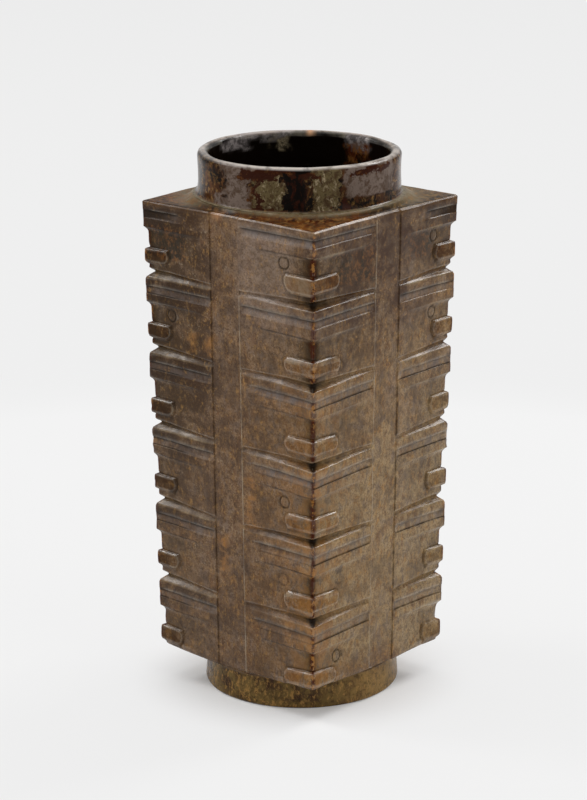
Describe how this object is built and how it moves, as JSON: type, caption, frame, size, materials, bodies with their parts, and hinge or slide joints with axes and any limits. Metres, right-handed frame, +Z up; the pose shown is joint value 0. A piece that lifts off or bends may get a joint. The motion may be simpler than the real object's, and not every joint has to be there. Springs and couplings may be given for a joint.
{
  "type": "cong",
  "caption": "Tall square tube of brown jade with a round collar, a round foot and a bore through its length, its corners carved in tiers of ribs, eye bands and nose bars.",
  "frame": {"origin": "centre of the foot's flat base", "axes": "+Z up along the bore, X and Y square to the faces of the body"},
  "size_m": [0.073, 0.073, 0.1831],
  "materials": {
    "stone": "polished"
  },
  "bodies": {
    "root": {"cong_tube": "stone"}
  },
  "joints": []
}
